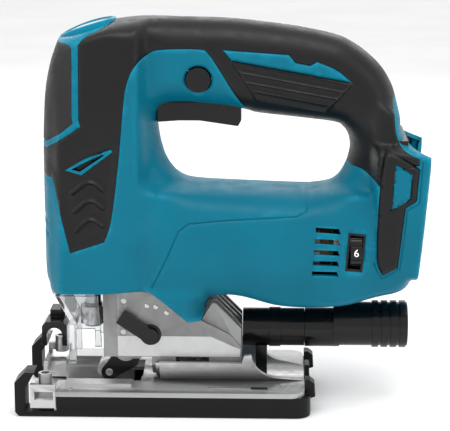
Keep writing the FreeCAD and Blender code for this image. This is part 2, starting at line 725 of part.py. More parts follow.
def make_dust_outlet():
    front = rod("x", 10.8, 0, "duct_z", "duct_rad", 32.2)
    collar = rod("x", 24.5, 0, "duct_z", "duct_rad + 0.5", 6)
    foot = slab(17.5, 3.5, 11.2, 6, 18)
    node("dust_nozzle", cut(join(front, collar, foot), rod("x", 10, 0, "duct_z", "duct_bore", 40)))
    tube_part = rod("x", 43.2, 0, "duct_z", "duct_rad + 0.3", 18)
    wide_part = rod("x", "hose_front", 0, "hose_z", "hose_rad - 0.9", "hose_end - hose_front")
    ribs = [rod("x", 78.2 + 4.75 * number, 0, "hose_z", "hose_rad", 3.2) for number in range(4)]
    bores = [rod("x", 40, 0, "duct_z", "duct_bore", "hose_front + 1 - 40"),
             rod("x", "hose_front + 1", 0, "hose_z", "hose_bore", 60)]
    node("hose_adaptor", cut(join(tube_part, wide_part, *ribs), *bores))


for build in (make_casing, make_badge, make_screws, make_gear_housing, make_gear_cover,
              make_bushes, make_drive, make_motor, make_plunger, make_blade_clamp, make_opener,
              make_dust_cover, make_lamp, make_orbit_lever, make_roller, make_controls,
              make_battery_interface, make_base_plate, make_sole_cover, make_base_clamp,
              make_dust_outlet):
    build()

doc.recompute()
for thing in doc.Objects:
    if "Invalid" in thing.State or "Error" in thing.State:
        raise RuntimeError("failed: %s %s" % (thing.Name, thing.Label))
os.makedirs("parts", exist_ok=True)
for thing in nodes:
    shape = thing.Shape
    if shape.isNull() or not shape.isValid():
        raise RuntimeError("bad shape: " + thing.Label)
    print("%-20s %8.0f mm3 %s" % (thing.Label, shape.Volume, len(shape.Solids)))
    shape.exportStep("parts/%s.step" % thing.Label)
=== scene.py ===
import json
import math

import bmesh
import bpy
import numpy as np
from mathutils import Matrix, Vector
from mathutils.geometry import delaunay_2d_cdt


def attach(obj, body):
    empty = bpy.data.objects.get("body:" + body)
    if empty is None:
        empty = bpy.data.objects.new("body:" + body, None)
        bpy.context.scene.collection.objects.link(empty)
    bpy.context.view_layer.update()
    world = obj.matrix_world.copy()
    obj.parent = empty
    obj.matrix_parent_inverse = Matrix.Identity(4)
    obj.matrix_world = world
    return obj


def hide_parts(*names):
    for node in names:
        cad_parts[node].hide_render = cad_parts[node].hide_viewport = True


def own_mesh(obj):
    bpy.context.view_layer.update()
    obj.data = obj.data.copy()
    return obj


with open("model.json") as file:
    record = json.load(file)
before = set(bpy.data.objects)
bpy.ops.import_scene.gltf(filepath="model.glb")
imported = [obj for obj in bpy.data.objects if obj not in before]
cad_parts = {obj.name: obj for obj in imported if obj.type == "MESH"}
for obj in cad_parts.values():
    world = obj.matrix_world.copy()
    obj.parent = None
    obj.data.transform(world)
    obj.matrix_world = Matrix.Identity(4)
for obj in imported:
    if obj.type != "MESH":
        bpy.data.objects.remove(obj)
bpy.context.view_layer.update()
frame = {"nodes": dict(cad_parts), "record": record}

MM = 0.001

# ------------------------------------------------------------------ materials


def grey(level):
    return (level, level, level, 1.0)


class Nodes:
    """Small helper that adds and links shader nodes of one material."""

    def __init__(self, name):
        self.material = bpy.data.materials.new(name)
        self.material.use_nodes = True
        self.tree = self.material.node_tree
        self.shader = self.tree.nodes["Principled BSDF"]
        coords = self.add("ShaderNodeTexCoord")
        self.place = coords.outputs["Object"]

    def add(self, kind):
        return self.tree.nodes.new(kind)

    def link(self, output, socket):
        self.tree.links.new(output, socket)

    def noise(self, scale, detail=3.0, stretch=None):
        texture = self.add("ShaderNodeTexNoise")
        texture.inputs["Scale"].default_value = scale
        texture.inputs["Detail"].default_value = detail
        if stretch:
            mapping = self.add("ShaderNodeMapping")
            mapping.inputs["Scale"].default_value = stretch
            self.link(self.place, mapping.inputs["Vector"])
            self.link(mapping.outputs["Vector"], texture.inputs["Vector"])
        else:
            self.link(self.place, texture.inputs["Vector"])
        return texture.outputs["Fac"]

    def ramp(self, source, low, high, start=0.35, end=0.65):
        ramp = self.add("ShaderNodeValToRGB")
        ramp.color_ramp.elements[0].position = start
        ramp.color_ramp.elements[1].position = end
        ramp.color_ramp.elements[0].color = low
        ramp.color_ramp.elements[1].color = high
        self.link(source, ramp.inputs["Fac"])
        return ramp.outputs["Color"]

    def bump(self, layers):
        """Chains bump nodes: each layer is (height socket, strength, distance)."""
        normal = None
        for height, strength, distance in layers:
            bump = self.add("ShaderNodeBump")
            bump.inputs["Strength"].default_value = strength
            bump.inputs["Distance"].default_value = distance
            self.link(height, bump.inputs["Height"])
            if normal:
                self.link(normal, bump.inputs["Normal"])
            normal = bump.outputs["Normal"]
        self.link(normal, self.shader.inputs["Normal"])

    def mix(self, factor, first, second):
        mix = self.add("ShaderNodeMix")
        mix.data_type = "RGBA"
        self.link(factor, mix.inputs["Factor"])
        for source, socket in ((first, mix.inputs[6]), (second, mix.inputs[7])):
            if isinstance(source, tuple):
                socket.default_value = source
            else:
                self.link(source, socket)
        return mix.outputs[2]

    def edges(self, start=0.52, end=0.58):
        """White on convex edges, from the surface's pointiness: edge wear and painted highlight
        together.
        """
        geometry = self.add("ShaderNodeNewGeometry")
        return self.ramp(geometry.outputs["Pointiness"], grey(0), grey(1), start, end)

    def roughness(self, source, low, high):
        self.link(self.ramp(source, grey(low), grey(high)), self.shader.inputs["Roughness"])


def shade(color, factor):
    return tuple(min(1.0, channel * factor) for channel in color) + (1.0,)


def moulded(name, color, rough, grain=5200.0, depth=0.00003, strength=0.35, edge_wear_and_highlight=0.25,
             gloss=0.14):
    """Moulded plastic or rubber with a fine spark texture, slight unevenness, and edges lightened
    as wear and painted highlight.
    """
    kit = Nodes(name)
    broad = kit.noise(28.0, 4.0)
    base = kit.ramp(broad, shade(color, 0.9), shade(color, 1.1), 0.3, 0.7)
    # Convex edges lightened: partly edge wear, partly painted highlight.
    wear_and_highlight = kit.mix(kit.edges(), base, shade(color, 1.0 + 2.2 * edge_wear_and_highlight))
    kit.link(wear_and_highlight, kit.shader.inputs["Base Color"])
    speck = kit.noise(grain, 2.0)
    kit.roughness(kit.noise(140.0), rough - 0.06, rough + 0.08)
    kit.shader.inputs["Specular IOR Level"].default_value = gloss
    kit.bump([(speck, strength, depth), (kit.noise(60.0, 2.0), 0.06, 0.0004)])
    return kit.material


def cast_metal(name, color, rough, grain=2600.0, strength=0.5):
    """Blasted die casting: sparkling grain, soft stains, edges lighter as wear and painted
    highlight.
    """
    kit = Nodes(name)
    grit = kit.noise(grain, 4.0)
    base = kit.ramp(grit, shade(color, 0.84), shade(color, 1.14), 0.3, 0.7)
    stained = kit.mix(kit.ramp(kit.noise(45.0, 5.0), grey(0), grey(0.35)),
                      base, shade(color, 0.8))
    # Convex edges lightened strongly: partly wear, partly painted highlight.
    wear_and_highlight = kit.mix(kit.edges(0.51, 0.56), stained, shade(color, 2.2))
    kit.link(wear_and_highlight, kit.shader.inputs["Base Color"])
    kit.shader.inputs["Metallic"].default_value = 0.75
    kit.roughness(kit.noise(300.0), rough - 0.08, rough + 0.12)
    kit.bump([(grit, strength, 0.00003), (kit.noise(90.0, 3.0), 0.04, 0.0003)])
    return kit.material


def ground_metal(name, color, rough, stretch=(1.0, 60.0, 1.0)):
    """Ground or turned steel with fine lay marks."""
    kit = Nodes(name)
    lay = kit.noise(420.0, 4.0, stretch)
    kit.link(kit.ramp(lay, shade(color, 0.82), shade(color, 1.12)), kit.shader.inputs["Base Color"])
    kit.shader.inputs["Metallic"].default_value = 1.0
    kit.roughness(kit.noise(80.0, 4.0), rough - 0.07, rough + 0.1)
    kit.bump([(lay, 0.15, 0.00004), (kit.noise(200.0), 0.05, 0.0001)])
    return kit.material


def clear_plastic(name):
    """Clear plastic with faint haze and ripples."""
    kit = Nodes(name)
    kit.roughness(kit.noise(150.0, 4.0), 0.02, 0.06)
    kit.link(kit.ramp(kit.noise(20.0), (0.66, 0.68, 0.69, 1), (0.74, 0.75, 0.76, 1)),
             kit.shader.inputs["Base Color"])
    kit.shader.inputs["Transmission Weight"].default_value = 0.96
    kit.shader.inputs["IOR"].default_value = 1.45
    kit.bump([(kit.noise(90.0, 2.0), 0.08, 0.0003)])
    return kit.material


TEAL = moulded("teal_plastic", (0.0, 0.13, 0.2), 0.42)
TEAL_GLOSS = moulded("teal_gloss", (0.0, 0.15, 0.23), 0.22, depth=0.00001, strength=0.12)
RUBBER = moulded("black_rubber", (0.0045, 0.0045, 0.0047), 0.4, grain=3800.0, depth=0.00005,
                 strength=0.5, edge_wear_and_highlight=0.15, gloss=0.26)
GREY_RUBBER = moulded("grey_rubber", (0.026, 0.026, 0.027), 0.5, grain=3200.0, depth=0.00006,
                      strength=0.55, edge_wear_and_highlight=0.1)
BLACK = moulded("black_plastic", (0.0025, 0.0025, 0.0027), 0.2, grain=4200.0, depth=0.00002,
                strength=0.25, edge_wear_and_highlight=0.3, gloss=0.3)
SOLE = moulded("sole_plastic", (0.006, 0.006, 0.0063), 0.38, grain=3000.0, depth=0.00003,
               strength=0.3, edge_wear_and_highlight=0.3)
CAST = cast_metal("cast_aluminium", (0.135, 0.135, 0.135), 0.42)
CAST_LIGHT = cast_metal("machined_aluminium", (0.25, 0.25, 0.25), 0.36, grain=1800.0, strength=0.2)
STEEL = ground_metal("ground_steel", (0.6, 0.6, 0.61), 0.25)
DARK_STEEL = ground_metal("dark_steel", (0.2, 0.2, 0.21), 0.35)
MIRROR = ground_metal("badge_metal", (0.85, 0.86, 0.87), 0.12, stretch=(1, 1, 8))
BRONZE = ground_metal("bronze", (0.75, 0.5, 0.28), 0.35)
# Coil copper far darker than bare copper: painted shade inside the casing, seen through the vents.
COPPER_IN_SHADE = ground_metal("copper_painted_shade", (0.12, 0.06, 0.03), 0.4, stretch=(40, 1, 1))
BOARD = moulded("circuit_board", (0.01, 0.09, 0.04), 0.4)
CLEAR = clear_plastic("clear_plastic")
WHITE = moulded("dial_white", (0.7, 0.7, 0.68), 0.5)

# ------------------------------------------------------------------ pieces


def cover(piece, node, body, material):
    """Gives a piece its material and body, and hides the CAD node it stands in for, where it has
    one.
    """
    piece.data.materials.clear()
    piece.data.materials.append(material)
    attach(piece, body)
    if node:
        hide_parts(node)
    return piece


def mesh_object(name, verts, faces):
    mesh = bpy.data.meshes.new(name)
    mesh.from_pydata([tuple(v) for v in verts], [], faces)
    mesh.validate()
    piece = bpy.data.objects.new(name, mesh)
    bpy.context.collection.objects.link(piece)
    return piece


def apply_modifiers(piece):
    graph = bpy.context.evaluated_depsgraph_get()
    mesh = bpy.data.meshes.new_from_object(piece.evaluated_get(graph))
    piece.modifiers.clear()
    piece.data = mesh


def body_of(node):
    for body, names in frame["record"]["behaviour"]["bodies"].items():
        if node in names:
            return body


def refine(node, material, bevel=0.35, segments=2, angle=28):
    """A copy of a CAD node with rounded edges and smooth shading in its place."""
    source = frame["nodes"][node]
    mesh = source.data.copy()
    mesh.transform(source.matrix_world)
    work = bmesh.new()
    work.from_mesh(mesh)
    bmesh.ops.remove_doubles(work, verts=work.verts, dist=0.000004)
    bmesh.ops.dissolve_limit(work, angle_limit=math.radians(1.5), verts=work.verts,
                             edges=work.edges)
    bmesh.ops.recalc_face_normals(work, faces=work.faces)
    work.to_mesh(mesh)
    work.free()
    piece = bpy.data.objects.new(node + "_look", mesh)
    bpy.context.collection.objects.link(piece)
    if bevel:
        round_off = piece.modifiers.new("bevel", "BEVEL")
        round_off.width = bevel * MM
        round_off.segments = segments
        round_off.limit_method = "ANGLE"
        round_off.angle_limit = math.radians(angle)
        round_off.use_clamp_overlap = True
        apply_modifiers(piece)
    piece.data.shade_smooth()
    piece.data.set_sharp_from_angle(angle=math.radians(32))
    even = piece.modifiers.new("even", "WEIGHTED_NORMAL")
    even.keep_sharp = True
    apply_modifiers(piece)
    return cover(piece, node, body_of(node), material)


# ------------------------------------------------------------------ outlines (mm, side view)


def spline_point(p0, p1, p2, p3, t):
    """Catmull-Rom point between p1 and p2."""
    return 0.5 * (2 * p1 + (p2 - p0) * t + (2 * p0 - 5 * p1 + 4 * p2 - p3) * t ** 2
                  + (3 * p1 - p0 - 3 * p2 + p3) * t ** 3)


def smooth(points, spacing=1.6):
    """Closed outline: Catmull-Rom between points, straight at points marked as corners."""
    count = len(points)
    result = []
    for i in range(count):
        before, here, there, after = (points[(i + k) % count] for k in (-1, 0, 1, 2))
        p1 = np.array(here[:2], float)
        p2 = np.array(there[:2], float)
        p0 = p1 if len(here) > 2 else np.array(before[:2], float)
        p3 = p2 if len(there) > 2 else np.array(after[:2], float)
        parts = max(1, int(np.linalg.norm(p2 - p1) / spacing))
        result += [spline_point(p0, p1, p2, p3, k / parts) for k in range(parts)]
    return np.array(result)


C = 1  # marks a corner
SILHOUETTE = smooth([
    (-86, 60.5, C), (-91.2, 66.5), (-91.8, 97), (-91.9, 120), (-91.6, 142), (-90.2, 163),
    (-87.2, 178), (-83, 189.8, C), (-69.8, 195.1), (-52, 199.2), (-36.7, 200.6), (-21.5, 200.3),
    (1.3, 199.7), (19, 198.1), (39.2, 195.4), (57, 191.6), (65, 188.2), (73, 182.7),
    (80.7, 175.2), (86, 166.3), (88.6, 158), (90.4, 150.3), (91, 145), (93.4, 139.8),
    (97.4, 136.8), (104.3, 133.6, C), (104.7, 130), (102.2, 98), (100.4, 80), (98.9, 70),
    (96, 63.6), (90.5, 59.9), (80.2, 57.2), (63, 52.4), (45, 51.2), (30, 52), (21, 54),
    (14.5, 55.9), (7, 57.5), (0.4, 57.6), (-4, 56.4), (-7, 53.6), (-9.4, 49.4),
    (-10.8, 47.3, C), (-17, 47.3, C), (-34.8, 61.8), (-40, 62.6), (-51, 61.6), (-62, 60.7),
    (-78, 60.5)])
FINGER_HOLE = smooth([
    (-33.2, 151), (-32.6, 143), (-31.3, 136), (-28.9, 128.6), (-24.4, 121.8), (-18.2, 118),
    (-9, 116.5), (1.6, 115.8), (19.5, 114.9), (39.9, 114.1), (47.5, 114.4), (54.6, 116),
    (59.4, 119.4), (63, 125.4), (65, 132), (65.2, 137), (63.9, 141.6), (61.3, 144.9),
    (57.2, 147), (39.5, 149.2), (19.3, 151.4), (14, 152.6), (9.5, 153.6), (0, 155.2),
    (-14, 156.4), (-24, 156.6), (-30.5, 155.4)])
RUBBER_AREA = smooth([
    (-96, 134.6, C), (-88.4, 136, C), (-71.4, 147.2), (-70.9, 151), (-70.9, 184), (-70.6, 188.6),
    (-67, 192.3), (-62.4, 194.4), (-56.7, 197.4), (-53.5, 199.8, C), (-53.5, 206, C), (98, 206, C),
    (98, 165, C), (87.2, 160.5), (86.6, 154), (86.8, 148), (87.9, 142.4), (90.6, 137.6),
    (98.6, 133.2, C), (98.6, 130, C), (84, 128, C), (79.4, 119.4, C), (75.6, 122.3), (71, 125.4),
    (65.5, 126.4), (61.5, 129.9, C), (52, 138, C), (16, 138, C), (14.4, 152, C), (9.6, 157.9),
    (-2.4, 177.3), (-6.7, 183.3), (-11, 185.5), (-31, 185.2), (-36.7, 183), (-41.7, 179),
    (-45.3, 173.4), (-47.7, 165), (-49.2, 151.5), (-51.3, 129.7), (-55.3, 100), (-59, 88.8, C),
    (-76.4, 82.9, C), (-84.6, 118), (-86.2, 121, C), (-96, 121, C)])
PALM_AREA = smooth([(-96, 138, C), (-88.1, 139, C), (-74.8, 148.8), (-74.3, 153), (-74.2, 182),
                    (-74.8, 187.6), (-77.5, 188.7, C), (-96, 189.4, C)])
BEZEL_AREA = smooth([(-96, 190.2, C), (-77, 189.4), (-71, 189.6), (-68.4, 191.6), (-62.4, 194.6),
                     (-56.7, 197.6), (-53.5, 200.2, C), (-53.5, 206, C), (-96, 206, C)])
INSET_AREA = smooth([(0.6, 185.2, C), (33.6, 182.9, C), (37, 178.9, C), (44.2, 177.5, C),
                     (47.8, 179.4, C), (55, 176.6), (60, 173.6), (65, 169.2, C), (5.2, 180, C)])
BUMPER_AREA = smooth([(81.8, 138.4, C), (98.8, 128.4, C), (97.6, 112.3, C), (92.2, 108.6, C),
                      (88.9, 77.8, C), (81.4, 73.6, C), (78.3, 83), (79, 116)])
BUMPER_INSET = smooth([(86.7, 131, C), (95, 125.8, C), (94.2, 113.4, C), (85.4, 107.8, C)])
DIAL_WINDOW = smooth([(63.7, 77.0, C), (70.3, 76.4, C), (71.6, 93.4, C), (65.1, 94.2, C)])
DIAL_FRAME = smooth([(62.5, 75.7, C), (71.3, 75.1, C), (72.9, 94.5, C), (64, 95.4, C)])
TRIANGLE_FRAME = smooth([(-78.2, 125.6, C), (-70, 123.2, C), (-54, 135.1, C), (-55.2, 136.3, C),
                         (-67.5, 131.7)], 0.9)
TRIANGLE = smooth([(-75.2, 126.2, C), (-70.6, 125.1, C), (-58, 133.6, C), (-59.4, 134, C),
                   (-67, 130.4)], 0.9)
PANEL = smooth([(-85, 123), (-81.7, 128), (-73.8, 132.8), (-62.4, 137.2), (-51.2, 139.9, C),
                (-55.4, 99), (-59, 88.8, C), (-76.4, 82.9, C)])
SEAM_LINE = [(-34.9, 65.5), (-27, 82), (-21, 95.6), (-16.2, 99.2), (2.7, 101), (38, 103),
             (42.8, 105.4), (46.3, 118)]
FLANGE_LINE = [(100.2, 131.4), (98.9, 110.9), (93, 107.5), (89.8, 77.6), (81, 71.8), (76.9, 80)]
CHEVRONS = [[(-75.3 + 1.2 * row, 113.4 - 9.6 * row), (-65.9, 119.6 - 9.6 * row),
             (-59.7, 115.6 - 9.4 * row)] for row in range(3)]
FRONT_SLOTS = [[(-91.6, 99.6), (-88.2, 96.6)], [(-91.6, 93.6), (-88, 90.5)]]
GRIP_LINES = [[(8.9, 174.1), (60.6, 164.4)], [(12.8, 169), (57.7, 160.9)],
              [(16.1, 164.7), (55.2, 157.2)]]
GRIP_FRAME = [(5.2, 179.4), (65.1, 168.0), (51.9, 154.4), (17.9, 160.3), (5.2, 179.4)]
LOCK = (-11.7, 170.3)  # middle of the lock-off button
LOCK_HOLE = 6.9
LOCK_RIM = 8.0
VENTS = [smooth([(47.6 - 0.4 * row, 98.2 - 5.6 * row, C), (47.6 - 0.4 * row, 95.8 - 5.6 * row, C),
                 (60.2 - 0.2 * row, 94.9 - 5.5 * row, C), (59.2 - 0.2 * row, 97.6 - 5.5 * row, C)])
         for row in range(5)]
MIDDLES = (SILHOUETTE + np.roll(SILHOUETTE, -1, axis=0)) / 2
UNDERSIDE = (MIDDLES[:, 0] < -6.4) & (MIDDLES[:, 1] < 63.2)
BATTERY_FACE = (MIDDLES[:, 0] > 92) & (MIDDLES[:, 1] > 66) & (MIDDLES[:, 1] < 141)


def dense(line, spacing=1.4):
    """Points along straight runs, about one spacing apart."""
    line = [np.array(p[:2], float) for p in line]
    result = []
    for a, b in zip(line, line[1:]):
        parts = max(1, int(np.linalg.norm(b - a) / spacing))
        result += [a + (b - a) * k / parts for k in range(parts)]
    result.append(line[-1])
    return np.array(result)


def circle(centre, radius, count=28):
    angles = np.arange(count) * 2 * math.pi / count
    return np.array([(centre[0] + radius * math.cos(a), centre[1] + radius * math.sin(a))
                     for a in angles])


def distance(points, line, keep=None):
    """Distance from each point to a closed outline, or only to its kept segments."""
    starts = np.asarray(line, float)
    ends = np.roll(starts, -1, axis=0)
    if keep is not None:
        starts, ends = starts[keep], ends[keep]
    best = np.full(len(points), 1e9)
    for a, b in zip(starts, ends):
        along = b - a
        length = max(along @ along, 1e-12)
        t = np.clip(((points - a) @ along) / length, 0, 1)
        gap = np.linalg.norm(points - (a + t[:, None] * along), axis=1)
        best = np.minimum(best, gap)
    return best


def line_gap(points, line):
    """Distance from each point to an open line."""
    keep = np.arange(len(line)) < len(line) - 1
    return distance(points, line, keep)


def inside(points, outline):
    x, z = points[:, 0], points[:, 1]
    result = np.zeros(len(points), bool)
    for a, b in zip(outline, np.roll(outline, -1, axis=0)):
        crosses = (a[1] > z) != (b[1] > z)
        slope = (b[0] - a[0]) * (z - a[1]) / (b[1] - a[1] + 1e-12) + a[0]
        result ^= crosses & (x < slope)
    return result


def step(value, low, high):
    t = np.clip((value - low) / (high - low), 0, 1)
    return t * t * (3 - 2 * t)


def smooth_max(a, b, reach):
    h = np.clip(0.5 + 0.5 * (a - b) / reach, 0, 1)
    return b + (a - b) * h + reach * h * (1 - h)


def arch(gap, radius):
    """Quarter-round profile: 0 at an edge, 1 one radius inside it."""
    t = np.clip(gap / radius, 0, 1)
    return np.sqrt(np.clip(1 - (1 - t) ** 2, 0, 1))


HEAD_HALF = 28
HANDLE_HALF = 17.6
BARREL_HALF = 33
SKIRT_HALF = 30.0
FLANGE_HALF = 33.4
WIDEST_HALF = 33.6
HIGHEST_DETAIL = 34.4


def half_width(points):
    """Half of the casing's width, before any detail, at side-view points in mm.

    Each form fades in and out along x and z with step, and the forms are then blended.
    """
    x, z = points[:, 0], points[:, 1]
    head = HEAD_HALF - 4.5 * step(z, 150, 202) - 1.2 * step(-z, -92, -62)
    head = head * (1 - step(x, -44, -27) * step(z, 112, 122))
    facet = 13.5 + (x + 92) * 1.32
    head = np.minimum(head, np.maximum(facet, 13.5))
    low = np.clip((84 - z) / 34.5, -1, 1)
    belly = np.sqrt(np.clip(1 - np.abs(low) ** 2.3, 0.0, 1))
    crown = (1 - np.clip((z - 84) / 36, 0, 1) ** 2.4) ** (1 / 2.3)
    barrel = BARREL_HALF * np.where(z < 84, belly, crown) * step(x, -62, -30)
    barrel = barrel * (1 - step(z, 117, 121))
    skirt = SKIRT_HALF * step(-x, 1, 9) * step(x, -46, -38) * (1 - step(z, 62, 80))
    handle = np.full(len(x), HANDLE_HALF)
    column = (HANDLE_HALF + 7 * step(x, 62, 84)) * step(x, 48, 62) * (1 - 0.25 * step(z, 140, 170))
    shoulder = 1 - 0.62 * step(z, 134, 146)
    rise = np.where(z < 80, step(x, 66, 81), step(x, 69, 79.5))
    heel = 0.7 + 0.3 * step(z, 56, 80)
    flange = FLANGE_HALF * rise * heel * (1 - step(z, 150, 162)) * shoulder
    width = smooth_max(head, handle, 5)
    width = smooth_max(width, column, 3)
    width = smooth_max(width, barrel, 5)
    width = smooth_max(width, skirt, 2.5)
    return np.minimum(smooth_max(width, flange, 1.2), WIDEST_HALF)


def edge_radius(points):
    """How far the casing's edges are rounded, in mm, at side-view points."""
    x, z = points[:, 0], points[:, 1]
    radius = np.where(z < 125, 12.0, 15.0)
    column = step(-x, 24, 40) * step(z, 112, 122)
    radius = radius * (1 - column) + 9.5 * column
    front = step(-x, 70, 84)
    radius = radius * (1 - front) + 5.0 * front
    top_front = step(-x, 46, 58) * step(z, 176, 188)
    radius = radius * (1 - top_front) + 6.5 * top_front
    rear = step(x, 74, 80) * (1 - step(z, 152, 162))
    radius = radius * (1 - rear) + 4.0 * rear
    heel = step(x, 60, 72) * (1 - step(z, 68, 80))
    radius = radius * (1 - heel) + 9.0 * heel
    belly = step(-z, -72, -60) * step(x, -8, 0)
    return radius * (1 - belly) + 7.0 * belly


GROOVED = [RUBBER_AREA, PALM_AREA, BEZEL_AREA, INSET_AREA, BUMPER_AREA, BUMPER_INSET]


def groove(gap, width):
    """Bell-shaped profile: 1 on the line, fading over about one width."""
    return np.exp(-(gap / width) ** 2)


def casing_height(points, side):
    """Distance of the casing's surface from the mid-plane, in mm."""
    closed = np.minimum(distance(points, SILHOUETTE, ~(UNDERSIDE | BATTERY_FACE)),
                        distance(points, FINGER_HOLE))
    height = half_width(points) * arch(closed, edge_radius(points))
    height -= 2.6 * (1 - arch(distance(points, SILHOUETTE, UNDERSIDE), 1.6))
    rear_step = 1 - arch(distance(points, SILHOUETTE, BATTERY_FACE), 1.6)
    height -= 4.6 * rear_step * step(points[:, 1], 68, 82)
    panel = distance(points, PANEL) * inside(points, PANEL)
    height -= 1.3 * step(panel, 0, 3.4)
    for outline in GROOVED:
        height -= 0.7 * groove(distance(points, outline), 0.5)
    for line in (SEAM_LINE, FLANGE_LINE):
        height -= 0.75 * groove(line_gap(points, np.array(line)), 0.45)
    for line in FRONT_SLOTS:
        height -= 2.0 * groove(line_gap(points, np.array(line)), 0.7)
    for line in CHEVRONS:
        height += 1.7 * np.clip(1 - line_gap(points, smooth_line(line)) / 1.5, 0, 1)
    frame_in = distance(points, TRIANGLE_FRAME) * inside(points, TRIANGLE_FRAME)
    height += 0.9 * step(frame_in, 0, 0.5)
    vent_in = distance(points, TRIANGLE) * inside(points, TRIANGLE)
    height -= 2.2 * step(vent_in, 0, 0.6)
    for line in GRIP_LINES + [GRIP_FRAME]:
        height += 0.8 * groove(line_gap(points, np.array(line)), 0.5)
    raised = distance(points, BUMPER_AREA) * inside(points, BUMPER_AREA)
    height += 1.7 * np.clip(raised / 2.6, 0, 1) - 0.9 * inside(points, BUMPER_INSET)
    height += 0.5 * np.clip(distance(points, INSET_AREA) / 1.4, 0, 1) * inside(points, INSET_AREA)
    ring = np.linalg.norm(points - np.array(LOCK), axis=1)
    height -= 0.9 * (1 - step(ring, LOCK_HOLE, LOCK_RIM))
    if side < 0:
        dial = np.where(inside(points, DIAL_WINDOW), 0, distance(points, DIAL_WINDOW))
        height -= 1.5 * (1 - step(dial, 0.9, 2.6))
    return np.clip(height, 0, HIGHEST_DETAIL)


def smooth_line(points, spacing=1.4):
    """Open Catmull-Rom line through points."""
    ends = [points[0]] + list(points) + [points[-1]]
    result = []
    for p0, p1, p2, p3 in zip(ends, ends[1:], ends[2:], ends[3:]):
        p0, p1, p2, p3 = (np.array(p, float) for p in (p0, p1, p2, p3))
        parts = max(1, int(np.linalg.norm(p2 - p1) / spacing))
        result += [spline_point(p0, p1, p2, p3, k / parts) for k in range(parts)]
    result.append(np.array(points[-1], float))
    return np.array(result)


def offset_ring(outline, gap):
    """The outline shifted sideways, for extra vertices beside an edge."""
    forward = np.roll(outline, -1, axis=0) - np.roll(outline, 1, axis=0)
    length = np.linalg.norm(forward, axis=1)[:, None] + 1e-9
    normal = np.stack([-forward[:, 1], forward[:, 0]], axis=1) / length
    return outline + normal * gap


def lattice(spacing):
    """Staggered grid of points over the casing's side view."""
    low = SILHOUETTE.min(axis=0)
    high = SILHOUETTE.max(axis=0)
    rows = []
    for row, z in enumerate(np.arange(low[1], high[1], spacing * 0.866)):
        shift = spacing / 2 * (row % 2)
        rows += [(x + shift, z) for x in np.arange(low[0], high[0], spacing)]
    return np.array(rows)


GRID_SPACING = 1.8
CELL = 0.4  # free points share a cell of this size only once
EDGE_GAPS = (0.12, 0.45, 1.0, 1.9, 3.2, 5)
GROOVE_GAPS = (-1.0, -0.45, 0.45, 1.0)
VENT_GAPS = (-0.6, -0.3, 0.3, 0.6)
BUMPER_GAPS = (-2.6, 2.6)
DIAL_GAPS = (-2.6, -1.7, -0.9, 0.9, 1.7, 2.6)
LINE_GAPS = (-1.0, -0.4, 0.4, 1.0)
RIDGE_GAPS = (-2.0, -1.0, 1.0, 2.0)


def rows_beside(outlines, gaps):
    return [offset_ring(outline, gap) for outline in outlines for gap in gaps]


def free_points(lines, ridges):
    """Grid points, and rows of points beside each outline where the surface bends."""
    extra = [lattice(GRID_SPACING)]
    for outline in (SILHOUETTE, FINGER_HOLE):
        extra += rows_beside([outline], EDGE_GAPS)
        extra += rows_beside([outline], [-gap for gap in EDGE_GAPS])
    extra += rows_beside(GROOVED + [TRIANGLE_FRAME], GROOVE_GAPS)
    extra += rows_beside([TRIANGLE], VENT_GAPS)
    extra += rows_beside([BUMPER_AREA], BUMPER_GAPS)
    extra += rows_beside([DIAL_WINDOW], DIAL_GAPS)
    for group, gaps in ((lines, LINE_GAPS), (ridges, RIDGE_GAPS)):
        extra += [row[1:-1] for row in rows_beside([dense(line) for line in group], gaps)]
    return np.concatenate(extra)


def thinned(points):
    """One point for each cell of a fine grid, where later points go first."""
    cells = set()
    kept = []
    for point in points[::-1]:
        cell = (round(point[0] / CELL), round(point[1] / CELL))
        if cell not in cells:
            cells.add(cell)
            kept.append(point)
    return np.array(kept)


def triangulate():
    """Triangles over the casing's side view that follow every outline."""
    loops = [SILHOUETTE, FINGER_HOLE, circle(LOCK, LOCK_HOLE), circle(LOCK, LOCK_RIM),
             DIAL_WINDOW, DIAL_FRAME]
    loops += [TRIANGLE, TRIANGLE_FRAME] + VENTS + GROOVED
    lines = [np.array(line) for line in [SEAM_LINE, FLANGE_LINE, GRIP_FRAME] + GRIP_LINES]
    lines += [np.array(line) for line in FRONT_SLOTS]
    ridges = [smooth_line(line) for line in CHEVRONS]
    points, edges = [], []

    def add(outline, closed):
        start = len(points)
        points.extend(outline.tolist())
        last = len(outline) if closed else len(outline) - 1
        edges.extend((start + k, start + (k + 1) % len(outline)) for k in range(last))

    for loop in loops:
        add(loop, True)
    for line in lines + ridges:
        add(dense(line), False)
    kept = thinned(free_points(lines, ridges))
    kept = kept[nearest_gap(kept, np.array(points)) > 0.1]
    everything = [Vector(p) for p in points] + [Vector(p) for p in kept]
    verts, _, faces, *_ = delaunay_2d_cdt(everything, edges, [], 0, 0.01)
    return np.array([tuple(v) for v in verts]), [tuple(f) for f in faces]


def nearest_gap(points, others):
    """Distance from each point to the nearest of the others."""
    result = np.empty(len(points))
    for start in range(0, len(points), 512):
        chunk = points[start:start + 512]
        gaps = np.linalg.norm(chunk[:, None, :] - others[None, :, :], axis=2)
        result[start:start + 512] = gaps.min(axis=1)
    return result


CASING_LOOKS = {
    "palm": (GREY_RUBBER, "grip_rubber"), "bezel": (TEAL_GLOSS, "body_plastic"),
    "bumper": (RUBBER, "grip_rubber"), "grip": (RUBBER, "grip_rubber"),
    "housing": (TEAL, "body_plastic"), "dial_frame": (BLACK, "black_plastic"),
}


